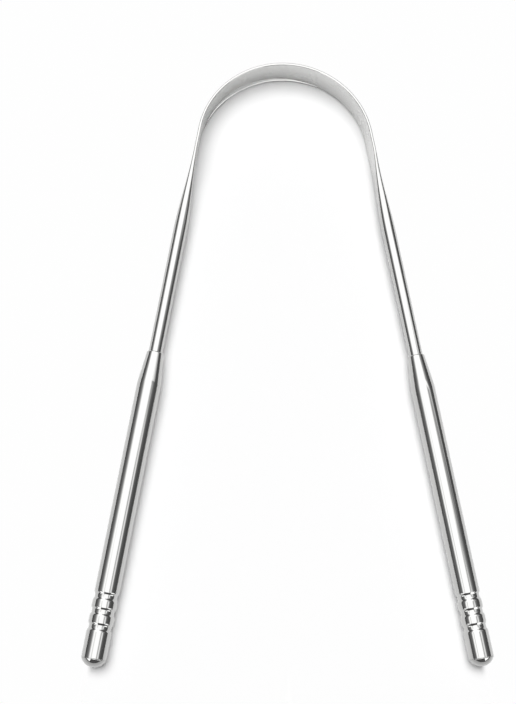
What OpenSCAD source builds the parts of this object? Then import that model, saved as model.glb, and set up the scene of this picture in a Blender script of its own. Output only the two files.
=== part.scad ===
// Tongue scraper: one steel wire, rolled flat into a blade and bent to a U,
// with a hollow steel handle on each leg.
// Built flat round the arch's centre, +Y to the arch and +X to the right,
// then laid on its blade edge and its handle ends, with z = 0 under it.

/* [Blade] */
// Radius of the arch to the middle of the strip
arch_r = 22; // [15:0.5:30]
// Width of the strip, from edge to edge
strip_w = 8; // [6.5:0.1:12]
// Thickness of the strip
strip_t = 0.7; // [0.4:0.05:1.2]
// Rounding of the strip's edges, as a share of half its thickness
edge_share = 0.7; // [0.4:0.05:0.95]
// Angle that each leg leans out from straight
leg_splay = 10; // [4:0.5:16]
// Straight strip between the arch and where the wire starts to fill out
strip_run = 4; // [1:0.5:12]
// Length over which the strip becomes round wire
flare_l = 23; // [14:0.5:30]

/* [Wire] */
// Diameter of the round wire
wire_d = 3.4; // [2.8:0.1:3.8]
// Length of a leg from the end of the arch to the handle's mouth
leg_l = 58.6; // [46:0.2:80]
// How far the wire reaches into the handle
wire_depth = 24; // [16:0.5:34]
// Bevel on the wire's cut end
wire_bevel = 0.3; // [0.1:0.05:0.6]

/* [Handle] */
// Outer diameter of the handle's barrel
handle_d = 5.8; // [5.4:0.1:8]
// Length of the handle's tube, from its mouth to the edge of the end plug
handle_l = 73; // [60:0.5:100]
// Wall of the tube
wall = 0.35; // [0.25:0.05:0.5]
// Length of the neck that narrows to the mouth
neck_l = 8; // [6:0.5:12]
// How far the neck's bend into the barrel is rounded, each way
neck_blend = 1.4; // [0.4:0.1:2.4]
// Rounding of the mouth's rim, as a share of the wall
rim_share = 0.85; // [0.4:0.05:0.9]

/* [Grip grooves] */
// Number of ring grooves
groove_n = 3; // [1:1:4]
// Distance from one groove to the next
groove_pitch = 3.5; // [3:0.1:5]
// Width of a groove at the surface
groove_w = 1.8; // [1.4:0.1:2.4]
// Depth of a groove
groove_depth = 0.3; // [0.1:0.05:0.4]
// Length of the steep wall on the arch side of a groove
groove_step = 0.45; // [0.2:0.05:0.6]
// Length of the easy ramp on the other side
groove_ramp = 0.55; // [0.2:0.05:0.65]
// Plain end of the tube, from the last groove's steep wall to the plug
tail_l = 7.9; // [7:0.1:12]

/* [End plug] */
// Height of the plug's domed head
dome_h = 1.9; // [0.8:0.1:2.4]
// Length of the spigot inside the tube
spigot_l = 4; // [2:0.25:4.5]
// Bevel on the spigot's inner end
spigot_bevel = 0.4; // [0.1:0.05:0.8]

/* [Wire collar] */
// Length of the collar that centres the wire's end in the barrel
collar_l = 5; // [3:0.25:8]
// Bevel on the collar's outer edges
collar_bevel = 0.25; // [0.1:0.05:0.4]

/* [Fits] */
// Gap between the wire and what holds it
wire_gap = 0.03; // [0.01:0.01:0.06]
// Gap between the tube's bore and what sits in it
bore_gap = 0.03; // [0.01:0.01:0.06]

/* [Hidden] */

// Fineness of round things
round_fn = 96;
// Sides of the strip's and the flare's section, and steps along the flare
section_sides = 32;
flare_steps = 18;
// Steps along each small arc of the handle's profile
arc_steps = 8;
// The flare's ends lie this far inside the arch's and the round wire's surfaces, and
// lap this far into them, so that all of the wire joins as one solid
seam_inset = 0.01;
seam_lap = 0.3;

wire_r = wire_d / 2;
flare_d = wire_d - 2 * seam_inset;
flare_thin = strip_t - 2 * seam_inset;
flare_wide = strip_w - 2 * seam_inset;
barrel_r = handle_d / 2;
bore_r = barrel_r - wall;
mouth_bore_r = wire_r + wire_gap;
mouth_r = mouth_bore_r + wall;
rim_r = wall * rim_share;

// Places along a leg, measured from the end of the arch
flare_start = strip_run;
flare_end = strip_run + flare_l;
tube_end = leg_l + handle_l;

// First steep wall of the grooves, measured from the mouth
first_groove = handle_l - tail_l - (groove_n - 1) * groove_pitch;

// Areas of the flare's flat end and of its round end, which it changes between evenly
flat_area = bar_area(flare_wide, flare_thin, corner_r(flare_thin, 0));
round_area = bar_area(flare_d, flare_d, corner_r(flare_d, 1));

// The blade's edge is wider than the barrel, so the tool lies a little nose up:
// it rests where the strip ends and on the handles' far ends.
apex_y = arch_r + strip_t / 2;
tip_y = leg_y(tube_end + dome_h);
rest_front_y = leg_y(flare_start);
rest_back_y = leg_y(tube_end) - barrel_r * sin(leg_splay);
rest_tilt = atan((strip_w / 2 - barrel_r) / (rest_front_y - rest_back_y));
middle_y = (apex_y + tip_y) / 2;
rest_lift = strip_w / 2 * cos(rest_tilt) - (rest_front_y - middle_y) * sin(rest_tilt);

// Y of a point on a leg's axis, at a distance from the end of the arch
function leg_y(along) = arch_r * sin(leg_splay) - along * cos(leg_splay);

// Area of a bar w wide and t thick with corners of radius c
function bar_area(w, t, c) = w * t - (4 - PI) * c * c;

// Eases from 0 to 1 with no corner at either end
function ease(u) = u * u * (3 - 2 * u);

// Section of a bar with rounded corners: t thick along x, w wide along y
function bar_section(w, t, c) = [
    for (i = [0 : section_sides - 1])
        let (a = (i + 0.5) * 360 / section_sides)
        [c * cos(a) + sign(cos(a)) * (t / 2 - c), c * sin(a) + sign(sin(a)) * (w / 2 - c)]
];

// Corner radius, thickness and width of the flare at a share of its length: the
// corners grow till they are all of the round wire's section
function corner_r(t, u) = t / 2 * (edge_share + (1 - edge_share) * ease(u));
function flare_t(u) = flare_thin + (flare_d - flare_thin) * ease(u);
function flare_area(u) = flat_area + (round_area - flat_area) * ease(u);
function flare_w(u) =
    let (t = flare_t(u), c = corner_r(t, u))
    (flare_area(u) + (4 - PI) * c * c) / t;

// Points of a smooth bend at corner b between a and c, reaching so far each way
function bend(a, b, c, reach) =
    let (p = b + (a - b) * reach / norm(a - b), q = b + (c - b) * reach / norm(c - b))
    [for (i = [0 : arc_steps]) let (u = i / arc_steps)
        (1 - u) * (1 - u) * p + 2 * u * (1 - u) * b + u * u * q];

// Outer outline of the tube as [radius, distance from the mouth], taken in by inset
function neck_outline(inset) =
    bend([mouth_r - inset, 0], [barrel_r - inset, neck_l], [barrel_r - inset, handle_l], neck_blend);

function groove_outline(inset) = [
    for (i = [0 : groove_n - 1])
        let (start = first_groove + i * groove_pitch, floor_r = barrel_r - groove_depth - inset)
        each [[barrel_r - inset, start],
              [floor_r, start + groove_step],
              [floor_r, start + groove_w - groove_ramp],
              [barrel_r - inset, start + groove_w]]
];

function rim_outline() = [
    for (i = [0 : arc_steps])
        let (a = 90 * i / arc_steps)
        [mouth_r - rim_r + rim_r * sin(a), rim_r - rim_r * cos(a)]
];

function reversed(points) = [for (i = [len(points) - 1 : -1 : 0]) points[i]];

// Lays the whole tool down as it rests on a table
module lay_down() {
    translate([0, 0, rest_lift])
        rotate([rest_tilt, 0, 0])
            translate([0, -middle_y, 0])
                children();
}

// Stands a child on a leg: x outward, y up, z along the leg from a distance on
module on_leg(side, along) {
    mirror([side < 0 ? 1 : 0, 0, 0])
        rotate([0, 0, leg_splay])
            translate([arch_r, 0, 0])
                rotate([90, 0, 0])
                    translate([0, 0, along])
                        children();
}

// The bent strip across the top of the U
module arch() {
    rotate_extrude(angle = 180 - 2 * leg_splay, start = leg_splay, $fn = round_fn * 2)
        translate([arch_r, 0])
            polygon(bar_section(strip_w, strip_t, corner_r(strip_t, 0)));
}

// The strip's straight run, and the stretch where it fills out to a round wire
module flare() {
    rings = [
        for (k = [-1 : flare_steps + 1])
            let (u = min(max(k / flare_steps, 0), 1))
            let (along = k < 0 ? -seam_lap : flare_start + u * flare_l + (k > flare_steps ? seam_lap : 0))
            let (t = flare_t(u))
            [for (p = bar_section(flare_w(u), t, corner_r(t, u))) [p[0], p[1], along]]
    ];
    points = [for (ring = rings) each ring];
    n = section_sides;
    sides = [
        for (k = [0 : len(rings) - 2], i = [0 : n - 1])
            let (j = (i + 1) % n, a = k * n, b = (k + 1) * n)
            each [[a + i, b + i, b + j], [a + i, b + j, a + j]]
    ];
    near_cap = [for (i = [0 : n - 1]) i];
    far_cap = [for (i = [n - 1 : -1 : 0]) (len(rings) - 1) * n + i];
    polyhedron(points = points, faces = concat(sides, [near_cap, far_cap]));
}

// Round wire from the flare's end to its cut end inside the handle
module round_wire() {
    straight = leg_l + wire_depth - wire_bevel - flare_end;
    cylinder(r = wire_r, h = straight, $fn = round_fn);
    translate([0, 0, straight])
        cylinder(r1 = wire_r, r2 = wire_r - wire_bevel, h = wire_bevel, $fn = round_fn);
}

module blade_leg(side) {
    on_leg(side, 0)
        flare();
    on_leg(side, flare_end)
        round_wire();
}

module blade_wire() {
    color("silver")
        lay_down() {
            arch();
            blade_leg(-1);
            blade_leg(1);
        }
}

// A drawn tube with a swaged neck and rolled grip grooves
module handle_tube(side) {
    outline = concat(
        [[mouth_bore_r, 0]],
        rim_outline(),
        neck_outline(0),
        groove_outline(0),
        [[barrel_r, handle_l], [bore_r, handle_l]],
        reversed(groove_outline(wall)),
        reversed(neck_outline(wall))
    );
    color("gainsboro")
        lay_down()
            on_leg(side, leg_l)
                rotate_extrude($fn = round_fn)
                    polygon(outline);
}

module left_handle_tube() { handle_tube(-1); }
module right_handle_tube() { handle_tube(1); }

// A turned plug: domed head flush with the tube, spigot pressed into its bore
module end_plug(side) {
    dome_r = (barrel_r * barrel_r + dome_h * dome_h) / (2 * dome_h);
    spigot_r = bore_r - bore_gap;
    half_angle = asin(barrel_r / dome_r);
    dome = [
        for (i = [0 : arc_steps * 2])
            let (a = half_angle * (1 - i / (arc_steps * 2)))
            [dome_r * sin(a), dome_h - dome_r + dome_r * cos(a)]
    ];
    outline = concat(
        [[0, -spigot_l], [spigot_r - spigot_bevel, -spigot_l], [spigot_r, spigot_bevel - spigot_l],
         [spigot_r, 0]],
        dome
    );
    color("lightgray")
        lay_down()
            on_leg(side, tube_end)
                rotate_extrude($fn = round_fn)
                    polygon(outline);
}

module left_end_plug() { end_plug(-1); }
module right_end_plug() { end_plug(1); }

// A ring on the wire's end that centres it and stops it drawing back out of the neck
module wire_collar(side) {
    inner_r = wire_r + wire_gap;
    outer_r = bore_r - bore_gap;
    outline = [
        [inner_r, 0],
        [outer_r - collar_bevel, 0],
        [outer_r, collar_bevel],
        [outer_r, collar_l - collar_bevel],
        [outer_r - collar_bevel, collar_l],
        [inner_r, collar_l]
    ];
    color("darkgray")
        lay_down()
            on_leg(side, leg_l + wire_depth - wire_bevel - collar_l)
                rotate_extrude($fn = round_fn)
                    polygon(outline);
}

module left_wire_collar() { wire_collar(-1); }
module right_wire_collar() { wire_collar(1); }

blade_wire();
left_handle_tube();
right_handle_tube();
left_end_plug();
right_end_plug();
left_wire_collar();
right_wire_collar();
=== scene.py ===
"""Looks of the tongue scraper: its steel pieces, their finishes and the studio.

The tool is one steel wire, rolled flat into a blade and bent to a U, with a hollow
steel handle on each leg. Each visible piece is shaped again here in full detail, in
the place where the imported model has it. Sizes are in millimetres until they reach
Blender, which works in metres.
"""

import logging
import math
from dataclasses import dataclass, field
from enum import Enum
from typing import Callable, Iterable

import bmesh
import bpy
from mathutils import Matrix, Vector


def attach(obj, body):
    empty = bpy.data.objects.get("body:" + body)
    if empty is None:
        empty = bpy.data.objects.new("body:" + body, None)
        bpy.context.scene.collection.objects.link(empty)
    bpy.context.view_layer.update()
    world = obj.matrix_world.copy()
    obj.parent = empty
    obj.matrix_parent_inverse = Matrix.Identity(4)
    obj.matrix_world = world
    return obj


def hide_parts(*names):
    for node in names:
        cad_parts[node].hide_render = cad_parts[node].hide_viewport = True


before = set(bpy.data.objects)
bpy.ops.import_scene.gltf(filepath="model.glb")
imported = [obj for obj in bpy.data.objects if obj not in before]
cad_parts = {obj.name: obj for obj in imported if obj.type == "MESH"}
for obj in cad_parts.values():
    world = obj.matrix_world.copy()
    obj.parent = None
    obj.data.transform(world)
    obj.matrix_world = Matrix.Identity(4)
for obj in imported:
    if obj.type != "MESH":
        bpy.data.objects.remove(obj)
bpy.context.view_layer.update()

MM = 0.001
# Vertices nearer than this count as being in one place, in metres
NEAR = 1e-6
# Vertices nearer than this are welded in a finished piece, in metres
WELD = 1e-7
BODY = "root"
log = logging.getLogger("tongue_scraper")

Point = tuple[float, float]


class Side(Enum):
    """A leg of the tool, by the sign of its X."""

    LEFT = -1
    RIGHT = 1

    @property
    def word(self) -> str:
        """The side's name as the pieces are named."""
        return self.name.lower()


# Shared plan of the tool


@dataclass(frozen=True)
class ToolPlan:
    """The sizes that the pieces share, in millimetres, as the part's source has them."""

    arch_r: float = 22.0
    leg_splay: float = 10.0
    strip_w: float = 8.0
    strip_t: float = 0.7
    edge_share: float = 0.7
    strip_run: float = 4.0
    flare_l: float = 23.0
    wire_d: float = 3.4
    leg_l: float = 58.6
    wire_depth: float = 24.0
    handle_d: float = 5.8
    handle_l: float = 73.0
    wall: float = 0.35
    rim_share: float = 0.85
    neck_l: float = 8.0
    dome_h: float = 1.9
    wire_gap: float = 0.03
    bore_gap: float = 0.03

    @property
    def splay(self) -> float:
        """Lean of a leg, in radians."""
        return math.radians(self.leg_splay)

    @property
    def barrel_r(self) -> float:
        """Outer radius of the handle's barrel."""
        return self.handle_d / 2

    @property
    def bore_r(self) -> float:
        """Inner radius of the handle's barrel."""
        return self.barrel_r - self.wall

    @property
    def tube_end(self) -> float:
        """Distance from the end of the arch to the tube's far edge."""
        return self.leg_l + self.handle_l

    def leg_y(self, along: float) -> float:
        """Y of a point on a leg's axis, before the tool is laid down."""
        return self.arch_r * math.sin(self.splay) - along * math.cos(self.splay)

    def lay_down(self) -> Matrix:
        """Place of the flat-built tool as it rests on its blade and handle ends.

        Returns:
            The matrix from the flat plan to the shared frame, in metres.
        """
        apex = self.arch_r + self.strip_t / 2
        tip = self.leg_y(self.tube_end + self.dome_h)
        front = self.leg_y(self.strip_run)
        back = self.leg_y(self.tube_end) - self.barrel_r * math.sin(self.splay)
        middle = (apex + tip) / 2
        tilt = math.atan((self.strip_w / 2 - self.barrel_r) / (front - back))
        lift = self.strip_w / 2 * math.cos(tilt) - (front - middle) * math.sin(tilt)
        return (
            Matrix.Translation((0, 0, lift * MM))
            @ Matrix.Rotation(tilt, 4, "X")
            @ Matrix.Translation((0, -middle * MM, 0))
        )

    def leg_frame(self, side: Side, along: float = 0.0) -> Matrix:
        """Frame of a leg: z runs down the leg, y points up, from a distance on.

        Args:
            side: The leg.
            along: Distance from the end of the arch, in millimetres.

        Returns:
            The matrix from that frame to the shared one.
        """
        return (
            self.lay_down()
            @ Matrix.Rotation(side.value * self.splay, 4, "Z")
            @ Matrix.Translation((side.value * self.arch_r * MM, 0, 0))
            @ Matrix.Rotation(math.pi / 2, 4, "X")
            @ Matrix.Translation((0, 0, along * MM))
        )


# Finishes


def linear(hex_colour: str) -> tuple[float, float, float, float]:
    """Turns an sRGB hex colour into linear values.

    Args:
        hex_colour: The colour as "#rrggbb".

    Returns:
        Red, green, blue and an alpha of 1.
    """
    parts = [int(hex_colour[i : i + 2], 16) / 255 for i in (1, 3, 5)]
    red, green, blue = (
        p / 12.92 if p <= 0.04045 else ((p + 0.055) / 1.055) ** 2.4 for p in parts
    )
    return red, green, blue, 1.0


def add_node(
    tree: bpy.types.NodeTree,
    kind: str,
    settings: dict | None = None,
    links: dict | None = None,
) -> bpy.types.Node:
    """Adds a node with its settings and links.

    Args:
        tree: The node tree.
        kind: The node's type name.
        settings: Values by attribute name, or by input name or number where the
            node has no such attribute.
        links: Output sockets by the name or number of the input they go into.

    Returns:
        The new node.
    """
    node = tree.nodes.new(kind)
    for key, value in (settings or {}).items():
        if isinstance(key, str) and hasattr(node, key):
            setattr(node, key, value)
        else:
            node.inputs[key].default_value = value
    for key, socket in (links or {}).items():
        tree.links.new(socket, node.inputs[key])
    return node


def new_tree(name: str) -> tuple[bpy.types.Material, bpy.types.NodeTree]:
    """Makes an empty node material.

    Args:
        name: The material's name.

    Returns:
        The material and its node tree.
    """
    material = bpy.data.materials.new(name)
    material.use_nodes = True
    material.node_tree.nodes.clear()
    return material, material.node_tree


@dataclass(frozen=True)
class SteelFinish:
    """A stainless steel surface that a tool has worked along one direction.

    Fine lines run along the work, and slow smudges lie over them. The lines are
    drawn about ten times coarser than real polishing grit leaves them, because at
    5 micrometres they wouldn't show at all. The steel is smoothest where lines times
    smudges is wear_low, and roughest where it is wear_high.
    """

    name: str
    pale: str
    dark: str
    smooth: float
    rough: float
    line_mm: float
    line_run_mm: float
    smudge_mm: float
    relief_mm: float
    wear_low: float = 0.12
    wear_high: float = 0.42

    def build(self, turn: float = 0.0, centre: Vector | None = None) -> bpy.types.Material:
        """Builds the material.

        Args:
            turn: Turn about Z that brings the lines in line with the leg, in radians.
            centre: Point that the pattern is centred on, in metres.

        Returns:
            The material.
        """
        material, tree = new_tree(self.name)
        place = add_node(tree, "ShaderNodeTexCoord").outputs["Object"]
        shift = centre or Vector((0, 0, 0))
        turned = add_node(
            tree,
            "ShaderNodeMapping",
            {"vector_type": "TEXTURE", "Location": shift, "Rotation": (0, 0, turn)},
            {"Vector": place},
        )
        squeeze = self.line_mm / self.line_run_mm
        stretched = add_node(
            tree,
            "ShaderNodeMapping",
            {"Scale": (1, squeeze, 1)},
            {"Vector": turned.outputs["Vector"]},
        )
        lines = add_node(
            tree,
            "ShaderNodeTexNoise",
            {"Scale": 1 / (self.line_mm * MM), "Detail": 3.0, "Roughness": 0.6},
            {"Vector": stretched.outputs["Vector"]},
        ).outputs["Fac"]
        smudges = add_node(
            tree,
            "ShaderNodeTexNoise",
            {"Scale": 1 / (self.smudge_mm * MM), "Detail": 4.0, "Roughness": 0.55},
            {"Vector": turned.outputs["Vector"]},
        ).outputs["Fac"]
        worn = add_node(
            tree, "ShaderNodeMath", {"operation": "MULTIPLY"}, {0: lines, 1: smudges}
        ).outputs["Value"]
        gloss = add_node(
            tree,
            "ShaderNodeMapRange",
            {
                "From Min": self.wear_low,
                "From Max": self.wear_high,
                "To Min": self.smooth,
                "To Max": self.rough,
            },
            {"Value": worn},
        ).outputs["Result"]
        colour = add_node(
            tree,
            "ShaderNodeMix",
            {"data_type": "RGBA", 6: linear(self.dark), 7: linear(self.pale)},
            {0: lines},
        ).outputs[2]
        relief = add_node(
            tree,
            "ShaderNodeBump",
            {"Strength": 1.0, "Distance": self.relief_mm * MM},
            {"Height": lines},
        ).outputs["Normal"]
        steel = add_node(
            tree,
            "ShaderNodeBsdfPrincipled",
            {"Metallic": 1.0},
            {"Base Color": colour, "Roughness": gloss, "Normal": relief},
        )
        add_node(tree, "ShaderNodeOutputMaterial", links={"Surface": steel.outputs[0]})
        return material


# Stainless wire, ground round and buffed on a wheel: a mirror with faint lines
# running along it, so the studio shows in it as clean stripes.
BUFFED_WIRE = SteelFinish(
    name="buffed_wire_steel",
    pale="#c9c9c8",
    dark="#bdbdbc",
    smooth=0.05,
    rough=0.11,
    line_mm=0.05,
    line_run_mm=6.0,
    smudge_mm=5.0,
    relief_mm=0.00006,
)
# Drawn stainless tube, buffed to a mirror: the same stripes with slightly softer
# edges, and fine drawing lines down the barrel.
BUFFED_TUBE = SteelFinish(
    name="buffed_tube_steel",
    pale="#c8c8c7",
    dark="#bcbcbb",
    smooth=0.045,
    rough=0.10,
    line_mm=0.06,
    line_run_mm=9.0,
    smudge_mm=7.0,
    relief_mm=0.00008,
)
# Rolled stainless strip, ground along its length with a fine belt: an even satin
# grey that only carries the table's brightness, with lines along the strip.
SATIN_STRIP = SteelFinish(
    name="satin_ground_strip_steel",
    pale="#d8d8d7",
    dark="#cbcbca",
    smooth=0.18,
    rough=0.32,
    line_mm=0.16,
    line_run_mm=8.0,
    smudge_mm=3.0,
    relief_mm=0.0008,
)
# Turned and polished plug: mirror bright, with a trace of turning.
POLISHED_PLUG = SteelFinish(
    name="polished_plug_steel",
    pale="#c8c8c7",
    dark="#bcbcbb",
    smooth=0.05,
    rough=0.12,
    line_mm=0.08,
    line_run_mm=0.5,
    smudge_mm=2.0,
    relief_mm=0.0001,
)
# Turned ring that is never seen in use: bare and dull, as it left the lathe.
BARE_COLLAR = SteelFinish(
    name="bare_turned_steel",
    pale="#b5b5b4",
    dark="#9d9d9c",
    smooth=0.28,
    rough=0.45,
    line_mm=0.12,
    line_run_mm=0.8,
    smudge_mm=2.0,
    relief_mm=0.001,
)


# Modelling by hand


def deselect_all() -> None:
    """Leaves object mode with nothing selected."""
    bpy.ops.object.select_all(action="DESELECT")


def pick(obj: bpy.types.Object) -> None:
    """Makes one object the only selected and active one.

    Args:
        obj: The object.
    """
    deselect_all()
    obj.select_set(True)
    bpy.context.view_layer.objects.active = obj


def select_vertices(obj: bpy.types.Object, test: Callable[[Vector], bool]) -> None:
    """Selects the vertices of the mesh in edit mode that pass a test.

    Args:
        obj: The object in edit mode.
        test: Tells from a vertex's place whether it is taken.
    """
    mesh = bmesh.from_edit_mesh(obj.data)
    mesh.select_mode = {"VERT"}
    for part in (*mesh.faces, *mesh.edges):
        part.select = False
    for vertex in mesh.verts:
        vertex.select = test(vertex.co)
    mesh.select_flush_mode()
    bmesh.update_edit_mesh(obj.data)


def set_place(obj: bpy.types.Object, matrix: Matrix) -> None:
    """Moves a piece to its place and bakes that place into its mesh.

    Args:
        obj: The piece.
        matrix: Its place.
    """
    obj.matrix_world = matrix
    pick(obj)
    bpy.ops.object.transform_apply(location=True, rotation=True, scale=True)


def finish_mesh(obj: bpy.types.Object, angle: float = 34.0) -> None:
    """Merges, turns faces outwards and shades a finished piece.

    Args:
        obj: The piece.
        angle: Edges sharper than this, in degrees, stay sharp.
    """
    pick(obj)
    bpy.ops.object.mode_set(mode="EDIT")
    bpy.ops.mesh.select_all(action="SELECT")
    bpy.ops.mesh.remove_doubles(threshold=WELD)
    bpy.ops.mesh.normals_make_consistent(inside=False)
    bpy.ops.object.mode_set(mode="OBJECT")
    bpy.ops.object.shade_smooth_by_angle(angle=math.radians(angle))
    bpy.ops.object.modifier_add(type="WEIGHTED_NORMAL")
    bpy.context.object.modifiers[-1].keep_sharp = True
    bpy.ops.object.modifier_apply(modifier=bpy.context.object.modifiers[-1].name)


def hand_in(obj: bpy.types.Object, slot: str, *nodes: str) -> None:
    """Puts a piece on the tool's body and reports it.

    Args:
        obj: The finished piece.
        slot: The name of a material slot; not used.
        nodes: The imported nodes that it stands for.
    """
    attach(obj, BODY)
    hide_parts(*nodes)
    faces = len(obj.data.polygons)
    log.info("%s: %d faces, stands for %s", obj.name, faces, ", ".join(nodes))


def arc(centre: Point, radius: float, start: float, end: float, steps: int) -> list[Point]:
    """Gives the points of an arc.

    Args:
        centre: The arc's centre.
        radius: Its radius.
        start: The angle that it starts from, in degrees.
        end: The angle that it ends at, in degrees.
        steps: Steps along it.

    Returns:
        The points from start to end.
    """
    angles = (math.radians(start + (end - start) * i / steps) for i in range(steps + 1))
    return [(centre[0] + radius * math.cos(a), centre[1] + radius * math.sin(a)) for a in angles]


def eased_corners(points: list[Point], radii: list[float], steps: int) -> list[Point]:
    """Rounds the corners of an outline with smooth bends.

    Args:
        points: The outline's corners.
        radii: How far each corner's bend reaches along its two sides, or 0.
        steps: Steps along a bend.

    Returns:
        The outline with its bends drawn out.
    """
    outline: list[Point] = []
    for i, corner in enumerate(points):
        reach = radii[i]
        if reach == 0 or i in (0, len(points) - 1):
            outline.append(corner)
            continue
        here = Vector(corner)
        before = here + (Vector(points[i - 1]) - here).normalized() * reach
        after = here + (Vector(points[i + 1]) - here).normalized() * reach
        for k in range(steps + 1):
            u = k / steps
            bend = before * (1 - u) ** 2 + here * (2 * u * (1 - u)) + after * u**2
            outline.append((bend.x, bend.y))
    return outline


@dataclass
class Turning:
    """A piece of revolution, drawn up ring by ring as on a lathe."""

    name: str
    sides: int = 128

    def turn(self, outline: list[Point]) -> bpy.types.Object:
        """Starts from one ring and extrudes and scales it from station to station.

        Args:
            outline: Radius and distance along the axis of each ring, in millimetres.
                A first or last radius of 0 closes that end in a pole.

        Returns:
            The turned object, its axis on z, where the first and last rings are
            joined if neither ends in a pole.
        """
        closed = outline[0][0] > 0 and outline[-1][0] > 0
        rings = [p for p in outline if p[0] > 0]
        deselect_all()
        bpy.ops.mesh.primitive_circle_add(
            vertices=self.sides,
            radius=rings[0][0] * MM,
            location=(0, 0, rings[0][1] * MM),
        )
        obj = bpy.context.object
        obj.name = obj.data.name = self.name
        bpy.ops.object.transform_apply(location=True, rotation=True, scale=True)
        bpy.ops.object.mode_set(mode="EDIT")
        bpy.ops.mesh.select_mode(type="VERT")
        bpy.ops.mesh.select_all(action="SELECT")
        if outline[0][0] == 0:
            self._pole(outline[0][1] - rings[0][1])
            select_vertices(obj, lambda co: co.to_2d().length > rings[0][0] * MM / 2)
        for (r0, z0), (r1, z1) in zip(rings, rings[1:]):
            step = (0, 0, (z1 - z0) * MM)
            bpy.ops.mesh.extrude_region_move(TRANSFORM_OT_translate={"value": step})
            bpy.ops.transform.resize(value=(r1 / r0, r1 / r0, 1))
        if outline[-1][0] == 0:
            self._pole(outline[-1][1] - rings[-1][1])
        if closed:
            self._join_ends(obj)
        bpy.ops.object.mode_set(mode="OBJECT")
        return obj

    def _pole(self, step: float) -> None:
        """Draws the selected ring together into one point on the axis."""
        bpy.ops.mesh.extrude_region_move(
            TRANSFORM_OT_translate={"value": (0, 0, step * MM)}
        )
        bpy.ops.mesh.merge(type="CENTER")

    def _join_ends(self, obj: bpy.types.Object) -> None:
        """Bridges the open first and last rings.

        Args:
            obj: The turned object in edit mode.
        """
        mesh = bmesh.from_edit_mesh(obj.data)
        for part in (*mesh.faces, *mesh.verts):
            part.select = False
        for edge in mesh.edges:
            edge.select = len(edge.link_faces) == 1
        mesh.select_flush(True)
        bmesh.update_edit_mesh(obj.data)
        bpy.ops.mesh.bridge_edge_loops()


# The blade and its wire


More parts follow.
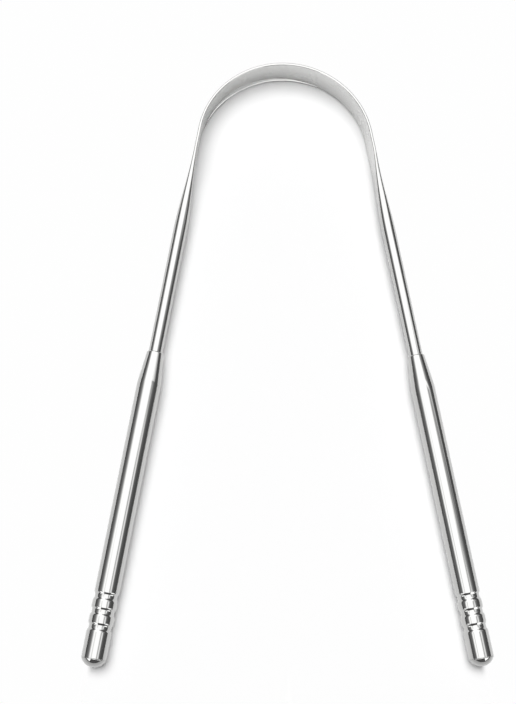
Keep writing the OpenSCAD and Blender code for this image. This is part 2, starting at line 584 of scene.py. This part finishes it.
@dataclass
class BladeWire:
    """The one steel wire: flat arched blade, two flares and two round legs.

    Lengths are in millimetres. The lip's start and run are in degrees of the arch, its
    wide and high are half of its section's sizes, and lip_out is how far the section's
    middle stands out from the strip.
    """

    plan: ToolPlan
    name: str = "formed_blade_wire"
    sides: int = 64
    flare_steps: int = 44
    arch_steps: int = 60
    end_bevel: float = 0.3
    # Plain rings this far to both sides of the handle's mouth, and this far past the flare
    mouth_rings: float = 4.0
    flare_ring: float = 8.0
    lip_wide: float = 0.36
    lip_high: float = 0.1
    lip_out: float = 0.17
    lip_start: float = 8.0
    lip_run: float = 98.0
    lip_sides: int = 16
    # The ground finish reaches this far past the strip, where the normal leans less than this
    ground_over: float = 6.0
    ground_lean: float = 0.35

    def section(self, share: float) -> tuple[float, float, float]:
        """Thickness, width and corner radius at a share of the flare's length.

        The area of the section changes evenly from strip to wire, because rolling
        moves the metal and takes none away.

        Args:
            share: 0 at the strip and 1 at the round wire.

        Returns:
            The three sizes, in millimetres.
        """
        plan = self.plan
        ease = share * share * (3 - 2 * share)
        thick = plan.strip_t + (plan.wire_d - plan.strip_t) * ease
        corner = thick / 2 * (plan.edge_share + (1 - plan.edge_share) * ease)
        cut = 4 - math.pi
        edge_r = plan.strip_t / 2 * plan.edge_share
        flat_area = plan.strip_t * plan.strip_w - cut * edge_r**2
        round_area = math.pi * plan.wire_d**2 / 4
        area = flat_area + (round_area - flat_area) * ease
        return thick, (area + cut * corner**2) / thick, corner

    def stations(self) -> list[tuple[float, float, float, float]]:
        """Lists the rings that one leg is drawn through.

        Returns:
            Distance, thickness, width and corner radius of each ring, from the wire's
            cut end to the strip's arch.
        """
        plan = self.plan
        end = plan.leg_l + plan.wire_depth
        flare_end = plan.strip_run + plan.flare_l
        wire = plan.wire_d
        tip = wire - 2 * self.end_bevel
        rows = [(end, tip, tip, tip / 2)]
        for along in (
            end - self.end_bevel,
            plan.leg_l + self.mouth_rings,
            plan.leg_l - self.mouth_rings,
            flare_end + self.flare_ring,
        ):
            rows.append((along, wire, wire, wire / 2))
        for i in range(self.flare_steps + 1):
            share = 1 - i / self.flare_steps
            rows.append((plan.strip_run + share * plan.flare_l, *self.section(share)))
        rows.append((0.0, *self.section(0.0)))
        return rows

    def _reshape(
        self, obj: bpy.types.Object, old: tuple[float, ...], new: tuple[float, ...]
    ) -> None:
        """Turns the selected ring's section from one rounded bar into another.

        Args:
            obj: The object in edit mode.
            old: The ring's distance, thickness, width and corner radius.
            new: The same for the ring's new shape.
        """
        _, t0, w0, c0 = old
        along, t1, w1, c1 = new
        grow = c1 / c0
        bpy.ops.transform.resize(value=(grow, grow, 1))
        move_x = (t1 / 2 - c1) - grow * (t0 / 2 - c0)
        move_y = (w1 / 2 - c1) - grow * (w0 / 2 - c0)
        level = along * MM
        for sx in (-1, 1):
            for sy in (-1, 1):
                select_vertices(
                    obj,
                    lambda co: abs(co.z - level) < NEAR and co.x * sx > 0 and co.y * sy > 0,
                )
                bpy.ops.transform.translate(value=(sx * move_x * MM, sy * move_y * MM, 0))
        select_vertices(obj, lambda co: abs(co.z - level) < NEAR)

    def build(self) -> None:
        """Draws one leg from its cut end to the arch, bends the arch and mirrors both."""
        rows = self.stations()
        deselect_all()
        bpy.ops.mesh.primitive_circle_add(
            vertices=self.sides,
            radius=rows[0][3] * MM,
            fill_type="NGON",
            location=(0, 0, rows[0][0] * MM),
            rotation=(0, 0, math.pi / self.sides),
        )
        obj = bpy.context.object
        obj.name = obj.data.name = self.name
        bpy.ops.object.transform_apply(location=True, rotation=True, scale=True)
        bpy.ops.object.mode_set(mode="EDIT")
        bpy.ops.mesh.select_mode(type="EDGE")
        bpy.ops.mesh.select_all(action="SELECT")
        bpy.ops.mesh.region_to_loop()
        for old, new in zip(rows, rows[1:]):
            step = (0, 0, (new[0] - old[0]) * MM)
            bpy.ops.mesh.extrude_edges_move(TRANSFORM_OT_translate={"value": step})
            if old[1:] != new[1:]:
                self._reshape(obj, old, new)
        bpy.ops.mesh.spin(
            steps=self.arch_steps,
            angle=self.plan.splay - math.pi / 2,
            center=(-self.plan.arch_r * MM, 0, 0),
            axis=(0, 1, 0),
        )
        bpy.ops.object.mode_set(mode="OBJECT")
        set_place(obj, self.plan.leg_frame(Side.RIGHT))
        self._mirror(obj)
        lip = self._lip()
        pick(obj)
        lip.select_set(True)
        bpy.ops.object.join()
        finish_mesh(obj)
        self._dress(obj)
        hand_in(obj, "blade_steel", "blade_wire")

    def _mirror(self, obj: bpy.types.Object) -> None:
        """Mirrors the right half to the left and joins them at the apex.

        Args:
            obj: The right half, in its place.
        """
        pick(obj)
        bpy.ops.object.modifier_add(type="MIRROR")
        mirror = obj.modifiers[-1]
        mirror.use_axis = (True, False, False)
        mirror.use_mirror_merge = True
        mirror.merge_threshold = NEAR
        bpy.ops.object.modifier_apply(modifier=mirror.name)

    def _lip(self) -> bpy.types.Object:
        """Draws the fine lip that the rolls left along the strip's lower inner edge.

        It runs from the arch's left side to just past the middle, as its bright line
        in the photo does. Its bend is a little wider than the arch's, so that both its
        ends sink into the strip.

        Returns:
            The lip, in its place.
        """
        plan = self.plan
        half = math.radians(self.lip_run / 2)
        shift = (self.lip_out + self.lip_wide) / (1 - math.cos(half))
        centre_x = plan.arch_r + shift * math.cos(half)
        centre_z = shift * math.sin(half)
        radius = plan.arch_r - plan.strip_t / 2 - self.lip_out + shift
        deselect_all()
        bpy.ops.mesh.primitive_circle_add(
            vertices=self.lip_sides,
            radius=self.lip_high * MM,
            fill_type="NGON",
            location=(
                (centre_x - radius) * MM,
                (self.lip_high - plan.strip_w / 2) * MM,
                centre_z * MM,
            ),
        )
        lip = bpy.context.object
        bpy.ops.object.transform_apply(location=True, rotation=True, scale=True)
        bpy.ops.object.mode_set(mode="EDIT")
        bpy.ops.mesh.select_mode(type="EDGE")
        bpy.ops.mesh.select_all(action="SELECT")
        bpy.ops.transform.resize(value=(self.lip_wide / self.lip_high, 1, 1))
        bpy.ops.mesh.region_to_loop()
        bpy.ops.mesh.spin(
            steps=self.arch_steps,
            angle=2 * half,
            center=(centre_x * MM, 0, centre_z * MM),
            axis=(0, 1, 0),
        )
        bpy.ops.mesh.edge_face_add()
        bpy.ops.object.mode_set(mode="OBJECT")
        centre = Vector((plan.arch_r * MM, 0, 0))
        start = Matrix.Rotation(-math.radians(self.lip_start), 4, "Y")
        onward = Matrix.Translation(centre) @ start @ Matrix.Translation(-centre)
        set_place(lip, plan.leg_frame(Side.LEFT) @ onward)
        return lip

    def _dress(self, obj: bpy.types.Object) -> None:
        """Gives the strip's two faces the ground finish and all else the buffed one.

        Args:
            obj: The finished wire.
        """
        obj.data.materials.append(BUFFED_WIRE.build())
        obj.data.materials.append(SATIN_STRIP.build())
        ground_end = self.plan.leg_y(self.plan.strip_run + self.ground_over) * MM
        front = (self.plan.lay_down() @ Vector((0, ground_end, 0))).y
        for face in obj.data.polygons:
            if abs(face.normal.z) < self.ground_lean and face.center.y > front:
                face.material_index = 1


# The handles


# How far each neck's bend into its barrel reaches, in millimetres: the left one is sharper
NECK_BLENDS = {Side.LEFT: 0.5, Side.RIGHT: 1.4}


@dataclass
class HandleTube:
    """A drawn steel tube with a swaged neck, rolled ring grooves and a square end."""

    plan: ToolPlan
    side: Side
    neck_blend: float
    groove_n: int = 3
    groove_pitch: float = 3.5
    groove_w: float = 1.8
    groove_depth: float = 0.3
    groove_step: float = 0.45
    groove_ramp: float = 0.55
    groove_eases: tuple[float, ...] = (0.2, 0.2, 0.24, 0.28)
    tail_l: float = 7.9
    end_edge: float = 0.1
    end_steps: int = 5
    rim_steps: int = 14
    bend_steps: int = 12
    # The bore's own: plain land behind the rim, bend at the neck, and coarser steps
    bore_land: float = 0.4
    bore_blend: float = 1.0
    bore_steps: int = 4
    name: str = field(init=False)

    def __post_init__(self) -> None:
        """Names the piece for its side."""
        self.name = f"{self.side.word}_grip_tube"

    def grooves(self, inset: float) -> tuple[list[Point], list[float]]:
        """Corners of the ring grooves, and how far each corner is eased.

        Args:
            inset: How far inside the outer surface the outline runs.

        Returns:
            The corners and their reaches.
        """
        top = self.plan.barrel_r - inset
        floor = top - self.groove_depth
        first = self.plan.handle_l - self.tail_l - (self.groove_n - 1) * self.groove_pitch
        corners: list[Point] = []
        reaches: list[float] = []
        for i in range(self.groove_n):
            start = first + i * self.groove_pitch
            corners += [
                (top, start),
                (floor, start + self.groove_step),
                (floor, start + self.groove_w - self.groove_ramp),
                (top, start + self.groove_w),
            ]
            reaches += self.groove_eases
        return corners, reaches

    def outline(self) -> list[Point]:
        """Draws the tube's outline, outside and in.

        Returns:
            Radius and distance from the mouth of each ring, round the mouth's rim, along
            the outside to the far end and back through the bore.
        """
        plan = self.plan
        mouth_bore = plan.wire_d / 2 + plan.wire_gap
        mouth = mouth_bore + plan.wall
        rim_r = plan.wall * plan.rim_share
        bore_rim = plan.wall - rim_r
        rim = arc((mouth_bore + bore_rim, bore_rim), bore_rim, 180, 270, self.bore_steps)[:-1]
        rim += arc((mouth - rim_r, rim_r), rim_r, 270, 360, self.rim_steps)
        corners, reaches = self.grooves(0.0)
        outer = eased_corners(
            [
                rim[-1],
                (plan.barrel_r, plan.neck_l),
                *corners,
                (plan.barrel_r, plan.handle_l - self.end_edge),
            ],
            [0.0, self.neck_blend, *reaches, 0.0],
            self.bend_steps,
        )
        edge_centre = (plan.barrel_r - self.end_edge, plan.handle_l - self.end_edge)
        edge = arc(edge_centre, self.end_edge, 0, 90, self.end_steps)
        corners, reaches = self.grooves(plan.wall)
        inner = eased_corners(
            [
                (mouth_bore, bore_rim + self.bore_land),
                (plan.bore_r, plan.neck_l),
                *corners,
                (plan.bore_r, plan.handle_l),
            ],
            [0.0, self.bore_blend, *reaches, 0.0],
            self.bore_steps,
        )
        return rim[:-1] + outer + edge[1:] + inner[::-1]

    def build(self) -> None:
        """Turns the tube, stands it on its leg and dresses it."""
        obj = Turning(self.name).turn(self.outline())
        set_place(obj, self.plan.leg_frame(self.side, self.plan.leg_l))
        finish_mesh(obj)
        obj.data.materials.append(BUFFED_TUBE.build(turn=self.side.value * self.plan.splay))
        hand_in(obj, "handle_steel", f"{self.side.word}_handle_tube")


@dataclass
class EndPlug:
    """A turned plug that closes the tube: low domed head and a spigot in the bore."""

    plan: ToolPlan
    side: Side
    spigot_l: float = 4.0
    spigot_bevel: float = 0.4
    head_gap: float = 0.02
    edge_r: float = 0.14
    edge_steps: int = 6
    dome_steps: int = 26
    name: str = field(init=False)

    def __post_init__(self) -> None:
        """Names the piece for its side."""
        self.name = f"{self.side.word}_domed_plug"

    def outline(self) -> list[Point]:
        """Draws the plug's outline.

        Returns:
            Radius and distance from the tube's end of each ring, from the spigot's inner
            end to the dome's pole.
        """
        plan = self.plan
        spigot = plan.bore_r - plan.bore_gap
        rim = plan.barrel_r
        dome_r = (rim**2 + plan.dome_h**2) / (2 * plan.dome_h)
        half = math.degrees(math.asin(rim / dome_r))
        dome = arc((0.0, plan.dome_h - dome_r), dome_r, 90 - half, 90, self.dome_steps)
        gap = self.head_gap
        edge = eased_corners(
            [(spigot, gap), (rim - gap, gap), dome[1], dome[2]],
            [0, self.edge_r, 0, 0],
            self.edge_steps,
        )
        return [
            (0.0, -self.spigot_l),
            (spigot - self.spigot_bevel, -self.spigot_l),
            (spigot, self.spigot_bevel - self.spigot_l),
            *edge,
            *dome[3:-1],
            (0.0, plan.dome_h),
        ]

    def build(self) -> None:
        """Turns the plug, stands it in its tube and dresses it."""
        obj = Turning(self.name).turn(self.outline())
        place = self.plan.leg_frame(self.side, self.plan.tube_end)
        set_place(obj, place)
        finish_mesh(obj)
        turn = self.side.value * self.plan.splay
        obj.data.materials.append(POLISHED_PLUG.build(turn, place.translation))
        hand_in(obj, "handle_steel", f"{self.side.word}_end_plug")


@dataclass
class WireCollar:
    """The ring on the wire's end, hidden in the barrel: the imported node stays."""

    side: Side

    def dress(self) -> None:
        """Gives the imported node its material."""
        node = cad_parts[f"{self.side.word}_wire_collar"]
        node.data.materials.clear()
        node.data.materials.append(BARE_COLLAR.build())
        log.info("%s: packed node kept, given %s", node.name, BARE_COLLAR.name)


# Studio and camera


@dataclass(frozen=True)
class Falloff:
    """Brightness of a lamp along one axis, as places in millimetres and levels of 0 to 1."""

    axis: str
    stops: tuple[Point, ...]

    def add(self, tree: bpy.types.NodeTree, place: bpy.types.NodeSocket) -> bpy.types.NodeSocket:
        """Adds the nodes that read the brightness at a place.

        Args:
            tree: The lamp's node tree.
            place: The place's socket, in metres.

        Returns:
            The brightness.
        """
        low, high = self.stops[0][0], self.stops[-1][0]
        parts = add_node(tree, "ShaderNodeSeparateXYZ", links={"Vector": place})
        share = add_node(
            tree,
            "ShaderNodeMapRange",
            {"From Min": low * MM, "From Max": high * MM},
            {"Value": parts.outputs[self.axis]},
        ).outputs["Result"]
        node = add_node(tree, "ShaderNodeValToRGB", links={"Fac": share})
        ramp = node.color_ramp
        for stop, (_, level) in zip(ramp.elements, (self.stops[0], self.stops[-1])):
            stop.color = (level, level, level, 1)
        for at, level in self.stops[1:-1]:
            ramp.elements.new((at - low) / (high - low)).color = (level, level, level, 1)
        return node.outputs["Color"]


@dataclass(frozen=True)
class Cloth:
    """A diffuser cloth hung over the tool, lit from behind, and how its light falls off."""

    name: str
    height: float
    zones: tuple[tuple[Falloff, Falloff], ...]

    def build(self) -> tuple[bpy.types.Object, bpy.types.NodeTree, bpy.types.NodeSocket]:
        """Hangs the cloth over all that its falloffs reach.

        Returns:
            The cloth, its node tree and its brightness.
        """
        x0, x1 = (self.zones[0][1].stops[i][0] for i in (0, -1))
        y0 = min(along.stops[0][0] for along, _ in self.zones)
        y1 = max(along.stops[-1][0] for along, _ in self.zones)
        bpy.ops.mesh.primitive_plane_add(size=1.0, location=(0, 0, self.height * MM))
        obj = bpy.context.object
        obj.name = self.name
        bpy.ops.object.mode_set(mode="EDIT")
        bpy.ops.mesh.select_all(action="SELECT")
        bpy.ops.transform.resize(value=((x1 - x0) * MM, (y1 - y0) * MM, 1))
        bpy.ops.transform.translate(value=((x0 + x1) / 2 * MM, (y0 + y1) / 2 * MM, 0))
        bpy.ops.object.mode_set(mode="OBJECT")
        material, tree = new_tree(f"{self.name}_weave")
        obj.data.materials.append(material)
        place = add_node(tree, "ShaderNodeTexCoord").outputs["Object"]
        # Each zone from front to back has its own falloff to the sides
        links = {}
        for along, across in self.zones:
            links |= {0: along.add(tree, place), 1: across.add(tree, place)}
            settings = {"operation": "MULTIPLY_ADD", 2: 0.0}
            level = add_node(tree, "ShaderNodeMath", settings, links).outputs["Value"]
            links = {2: level}
        return obj, tree, level


# Near cloth on the left: one dark seam across its front part
LEFT_CLOTH = Cloth(
    name="left_cloth",
    height=306.0,
    zones=(
        (
            Falloff("Y", ((-285, 0.1), (-262, 0.97), (-60, 0.97), (40, 0.0))),
            Falloff(
                "X",
                (
                    (-1400, 0.075), (-600, 0.12), (-500, 0.1), (-395, 0.18), (-315, 0.57),
                    (-257, 0.97), (-225, 1.0), (-163, 0.57), (-125, 0.95), (-107, 1.0), (20, 1.0),
                ),
            ),
        ),
        (
            Falloff(
                "Y",
                (
                    (-60, 0.0), (40, 0.97), (150, 0.97), (200, 1.0), (450, 1.0), (560, 0.7),
                    (760, 0.3), (1000, 0.15),
                ),
            ),
            Falloff(
                "X",
                (
                    (-1400, 0.065), (-725, 0.1), (-515, 0.16), (-395, 0.26), (-350, 0.4),
                    (-285, 0.72), (-232, 1.0), (20, 1.0),
                ),
            ),
        ),
    ),
)
# High cloth on the right: a second lit strip beyond a dark seam in its front part
RIGHT_CLOTH = Cloth(
    name="right_cloth",
    height=900.0,
    zones=(
        (
            Falloff("Y", ((-760, 0.1), (-695, 0.97), (40, 0.97), (110, 0.0))),
            Falloff(
                "X",
                (
                    (-150, 1.0), (215, 1.0), (260, 0.88), (357, 0.4), (425, 0.32), (550, 0.74),
                    (658, 0.78), (765, 0.44), (953, 0.11), (1030, 0.09), (1730, 0.11),
                ),
            ),
        ),
        (
            Falloff(
                "Y",
                (
                    (40, 0.0), (110, 0.97), (320, 0.97), (370, 0.0), (450, 0.0), (540, 0.97),
                    (600, 1.0), (1300, 0.7),
                ),
            ),
            Falloff(
                "X",
                (
                    (-150, 1.0), (315, 1.0), (368, 0.92), (479, 0.42), (559, 0.31), (646, 0.29),
                    (742, 0.28), (970, 0.155), (1275, 0.1), (1730, 0.11),
                ),
            ),
        ),
        (
            Falloff("Y", ((320, 0.0), (370, 0.97), (450, 0.97), (540, 0.0))),
            Falloff(
                "X",
                ((-150, 1.0), (430, 1.0), (631, 0.88), (834, 0.58), (1095, 0.38), (1730, 0.22)),
            ),
        ),
    ),
)


@dataclass(frozen=True)
class SoftBox:
    """A soft box at a front corner of the table.

    Its bearing runs in degrees from the front to the right, and half_width is half of
    how wide it looks from the tool, in degrees.
    """

    name: str
    bearing: float
    half_width: float


@dataclass
class Studio:
    """A white table under a soft light, in a studio that only the steel sees.

    What the steel mirrors was reasoned from its stripes and bands: two lit cloths
    overhead that fade to both sides, two soft boxes at the table's front corners, and
    dark between them where the camera stands. Lengths are in millimetres, except
    the table's size, which is in metres.
    """

    plan: ToolPlan
    table_size: float = 8.0
    table_white: str = "#f9f9f9"
    tooth_mm: float = 0.5
    tooth_shade: float = 0.995
    # Painted light outside the U: fade and level of the white glow that covers the tool's shadow
    cut_fade: float = 1.5
    blank_level: float = 0.993
    sky_fill: float = 0.18
    soft_sun: float = 2.83
    sun_width: float = 46.0
    sun_from: tuple[float, float, float] = (-0.12, 0.26, 1.0)
    # Painted shade: the table's colour, as the steel sees it, darkens towards the front
    painted_front_shade: Falloff = Falloff("Y", ((-110, 0.62), (-84, 0.72), (-73, 1.0)))
    steel_white: float = 1.95
    room_dark: float = 0.12
    room_r: float = 1800.0
    room_floor: float = -10.0
    fold_mm: float = 250.0
    fold_depth: float = 0.4
    cloths: tuple[Cloth, ...] = (LEFT_CLOTH, RIGHT_CLOTH)
    soft_boxes: tuple[SoftBox, ...] = (
        SoftBox("right_soft_box", bearing=46.0, half_width=18.0),
        SoftBox("left_soft_box", bearing=-49.0, half_width=17.0),
    )
    weave_mm: float = 2.0
    weave_depth: float = 0.04
    box_distance: float = 800.0
    box_base: float = 130.0
    box_top: float = 670.0

    @property
    def dark(self) -> float:
        """The dark room's level next to the cloths' white."""
        return self.room_dark / self.steel_white

    def build(self) -> None:
        """Builds the table, the lights and all that the steel mirrors."""
        self._table()
        self._world()
        self._sun()
        for cloth in self.cloths:
            self._hang(cloth)
        for soft_box in self.soft_boxes:
            self._stand(soft_box)
        self._room()
        log.info("studio: table, soft sun, two cloths, two soft boxes and a dark room")

    def _table(self) -> None:
        """Lays the white table, its top at z = 0."""
        deselect_all()
        bpy.ops.mesh.primitive_plane_add(size=self.table_size)
        table = bpy.context.object
        table.name = "white_table"
        material, tree = new_tree("white_paper")
        place = add_node(tree, "ShaderNodeTexCoord").outputs["Object"]
        # Uncoated white paper: quite matt, its fine tooth drawn coarse enough to show
        tooth = add_node(
            tree,
            "ShaderNodeTexNoise",
            {"Scale": 1 / (self.tooth_mm * MM), "Detail": 2.0},
            {"Vector": place},
        ).outputs["Fac"]
        white = linear(self.table_white)
        hollow = (*(part * self.tooth_shade for part in white[:3]), 1)
        colour = add_node(
            tree,
            "ShaderNodeMix",
            {"data_type": "RGBA", 6: hollow, 7: white},
            {0: tooth},
        ).outputs[2]
        path = add_node(tree, "ShaderNodeLightPath").outputs
        # Painted shade: in the steel's reflections the table's colour darkens towards the front,
        # standing in for the camera's shade
        shade = add_node(
            tree,
            "ShaderNodeMix",
            {"data_type": "RGBA", "blend_type": "MULTIPLY"},
            {0: path["Is Glossy Ray"], 6: colour, 7: self.painted_front_shade.add(tree, place)},
        ).outputs[2]
        paper = add_node(tree, "ShaderNodeBsdfDiffuse", links={"Color": shade})
        # The photo's table is blank white outside the U, with no shadows on it
        # Painted light: outside the U the camera sees the table as a white glow that hides the
        # tool's shadow
        blank = add_node(tree, "ShaderNodeEmission", {"Color": (*[self.blank_level] * 3, 1)})
        cut = add_node(
            tree,
            "ShaderNodeMath",
            {"operation": "MULTIPLY"},
            {0: path["Is Camera Ray"], 1: self._outside(tree, place)},
        ).outputs["Value"]
        mixed = add_node(
            tree, "ShaderNodeMixShader", links={0: cut, 1: paper.outputs[0], 2: blank.outputs[0]}
        )
        add_node(tree, "ShaderNodeOutputMaterial", links={"Surface": mixed.outputs[0]})
        table.data.materials.append(material)

    def _outside(
        self, tree: bpy.types.NodeTree, place: bpy.types.NodeSocket
    ) -> bpy.types.NodeSocket:
        """Share of white by distance outside the U, where the photo's table is cut out.

        Args:
            tree: The table's node tree.
            place: The place's socket, in metres.

        Returns:
            0 inside the U and 1 outside it; the step lies hidden under the wire.
        """
        plan = self.plan
        middle = (plan.lay_down() @ Vector((0, 0, 0))).y
        parts = add_node(tree, "ShaderNodeSeparateXYZ", links={"Vector": place}).outputs
        side = add_node(tree, "ShaderNodeMath", {"operation": "ABSOLUTE"}, {0: parts["X"]})
        folded = add_node(
            tree, "ShaderNodeCombineXYZ", links={"X": side.outputs["Value"], "Y": parts["Y"]}
        )
        # From the arch's centre, x now runs square to the leg and y along it, arch ahead
        upright = add_node(
            tree,
            "ShaderNodeMapping",
            {"vector_type": "TEXTURE", "Location": (0, middle, 0), "Rotation": (0, 0, plan.splay)},
            {"Vector": folded.outputs["Vector"]},
        )
        # Beside the leg only x counts for the distance, and round the arch both do
        outward = add_node(
            tree,
            "ShaderNodeVectorMath",
            {"operation": "MAXIMUM", 1: (-self.table_size, 0, 0)},
            {0: upright.outputs["Vector"]},
        )
        distance = add_node(
            tree,
            "ShaderNodeVectorMath",
            {"operation": "LENGTH"},
            {0: outward.outputs["Vector"]},
        )
        return add_node(
            tree,
            "ShaderNodeMapRange",
            {
                "interpolation_type": "SMOOTHSTEP",
                "From Min": plan.arch_r * MM,
                "From Max": (plan.arch_r + self.cut_fade) * MM,
            },
            {"Value": distance.outputs["Value"]},
        ).outputs["Result"]

    def _world(self) -> None:
        """Fills the shadows a little, and is white where a picture looks past the table."""
        world = bpy.data.worlds.new("studio_world")
        bpy.context.scene.world = world
        world.use_nodes = True
        tree = world.node_tree
        tree.nodes.clear()
        path = add_node(tree, "ShaderNodeLightPath").outputs
        seen = path["Is Camera Ray"]
        for ray in ("Is Glossy Ray", "Is Transmission Ray"):
            seen = add_node(
                tree, "ShaderNodeMath", {"operation": "MAXIMUM"}, {0: seen, 1: path[ray]}
            ).outputs["Value"]
        level = add_node(
            tree, "ShaderNodeMapRange", {"To Min": self.sky_fill, "To Max": 1.0}, {"Value": seen}
        ).outputs["Result"]
        sky = add_node(tree, "ShaderNodeBackground", {"Color": (1, 1, 1, 1)}, {"Strength": level})
        add_node(tree, "ShaderNodeOutputWorld", links={"Surface": sky.outputs[0]})

    def _sun(self) -> None:
        """Hangs the main light: a wide, soft sun, a little to the left and the back."""
        light = bpy.data.lights.new("soft_sun", "SUN")
        light.energy = self.soft_sun
        light.angle = math.radians(self.sun_width)
        sun = bpy.data.objects.new("soft_sun", light)
        bpy.context.scene.collection.objects.link(sun)
        sun.rotation_euler = Vector(self.sun_from).to_track_quat("Z", "Y").to_euler()
        sun.visible_glossy = False
        sun.visible_camera = False

    def _hang(self, cloth: Cloth) -> None:
        """Hangs one of the cloths whose picture is the bright stripe down the steel.

        Args:
            cloth: The cloth.
        """
        obj, tree, level = cloth.build()
        lit = add_node(tree, "ShaderNodeMath", {"operation": "MAXIMUM", 1: self.dark}, {0: level})
        self._only_steel(obj, tree, lit.outputs["Value"])

    def _stand(self, soft_box: SoftBox) -> None:
        """Stands a soft box at a front corner of the table.

        Args:
            soft_box: The soft box.
        """
        turn = math.radians(soft_box.bearing)
        far = self.box_distance * MM
        wide = 2 * far * math.tan(math.radians(soft_box.half_width))
        high = (self.box_top - self.box_base) * MM
        bpy.ops.mesh.primitive_plane_add(size=1.0)
        box = bpy.context.object
        box.name = soft_box.name
        box.scale = (wide, high, 1)
        box.rotation_euler = (math.pi / 2, 0, turn)
        box.location = (math.sin(turn) * far, -math.cos(turn) * far, self.box_base * MM + high / 2)
        material, tree = new_tree(f"{soft_box.name}_cloth")
        box.data.materials.append(material)
        # Woven diffuser cloth: an even white whose weave hardly shows from the tool
        place = add_node(tree, "ShaderNodeTexCoord").outputs["Object"]
        weave = add_node(
            tree,
            "ShaderNodeTexNoise",
            {"Scale": wide / (self.weave_mm * MM), "Detail": 1.0},
            {"Vector": place},
        )
        depth = self.weave_depth
        shade = add_node(
            tree,
            "ShaderNodeMath",
            {"operation": "MULTIPLY_ADD", 1: depth, 2: 1 - depth / 2},
            {0: weave.outputs["Fac"]},
        )
        self._only_steel(box, tree, shade.outputs["Value"])

    def _room(self) -> None:
        """Closes the studio with dark walls."""
        bpy.ops.mesh.primitive_uv_sphere_add(segments=64, ring_count=32, radius=self.room_r * MM)
        room = bpy.context.object
        room.name = "dark_room"
        bpy.ops.object.mode_set(mode="EDIT")
        bpy.ops.mesh.select_all(action="SELECT")
        bpy.ops.mesh.bisect(
            plane_co=(0, 0, self.room_floor * MM),
            plane_no=(0, 0, 1),
            clear_inner=True,
            use_fill=False,
        )
        bpy.ops.object.mode_set(mode="OBJECT")
        material, tree = new_tree("dark_cloth")
        room.data.materials.append(material)
        place = add_node(tree, "ShaderNodeTexCoord").outputs["Object"]
        # Dark cloth in slow folds, which show in the steel as soft greys
        folds = add_node(
            tree,
            "ShaderNodeTexNoise",
            {"Scale": 1 / (self.fold_mm * MM), "Detail": 1.0},
            {"Vector": place},
        )
        depth = self.fold_depth
        shade = add_node(
            tree,
            "ShaderNodeMath",
            {"operation": "MULTIPLY_ADD", 1: depth * self.dark, 2: (1 - depth / 2) * self.dark},
            {0: folds.outputs["Fac"]},
        )
        self._only_steel(room, tree, shade.outputs["Value"])

    def _only_steel(
        self, obj: bpy.types.Object, tree: bpy.types.NodeTree, level: bpy.types.NodeSocket
    ) -> None:
        """Makes an object glow for the steel's reflections alone.

        Args:
            obj: The object.
            tree: Its material's node tree.
            level: Brightness next to the cloths' white.
        """
        strength = add_node(
            tree, "ShaderNodeMath", {"operation": "MULTIPLY", 1: self.steel_white}, {0: level}
        ).outputs["Value"]
        glow = add_node(tree, "ShaderNodeEmission", links={"Strength": strength})
        add_node(tree, "ShaderNodeOutputMaterial", links={"Surface": glow.outputs[0]})
        obj.visible_camera = obj.visible_diffuse = obj.visible_shadow = False
        obj.visible_transmission = obj.visible_volume_scatter = False


@dataclass
class PhotoCamera:
    """The photograph's camera, fitted to the tool's outline."""

    place_mm: tuple[float, float, float] = (-25.16, -79.73, 293.20)
    turn: tuple[float, float, float] = (0.26599, -0.0617, -0.00395)
    focal_px: float = 1235.81
    image: tuple[int, int] = (516, 704)
    sensor_mm: float = 36.0
    nearest_mm: float = 5.0

    def build(self) -> None:
        """Sets the camera up and makes it the scene's own."""
        data = bpy.data.cameras.new("photo_camera")
        data.sensor_width = self.sensor_mm
        data.lens = self.focal_px * self.sensor_mm / max(self.image)
        data.clip_start = self.nearest_mm * MM
        camera = bpy.data.objects.new("photo_camera", data)
        bpy.context.scene.collection.objects.link(camera)
        camera.location = Vector(self.place_mm) * MM
        camera.rotation_euler = self.turn
        bpy.context.scene.camera = camera
        log.info("camera: %.1f mm lens, %.0f mm up", data.lens, self.place_mm[2])


def main() -> None:
    """Builds the tool, its finishes, the studio and the camera, in that order."""
    logging.basicConfig(level=logging.INFO, format="%(name)s: %(message)s")
    plan = ToolPlan()
    BladeWire(plan).build()
    for side, blend in NECK_BLENDS.items():
        HandleTube(plan, side, neck_blend=blend).build()
        EndPlug(plan, side).build()
        WireCollar(side).dress()
    Studio(plan).build()
    PhotoCamera().build()
    bpy.context.scene.view_settings.view_transform = "Standard"
    deselect_all()


if __name__ == "__main__":
    main()
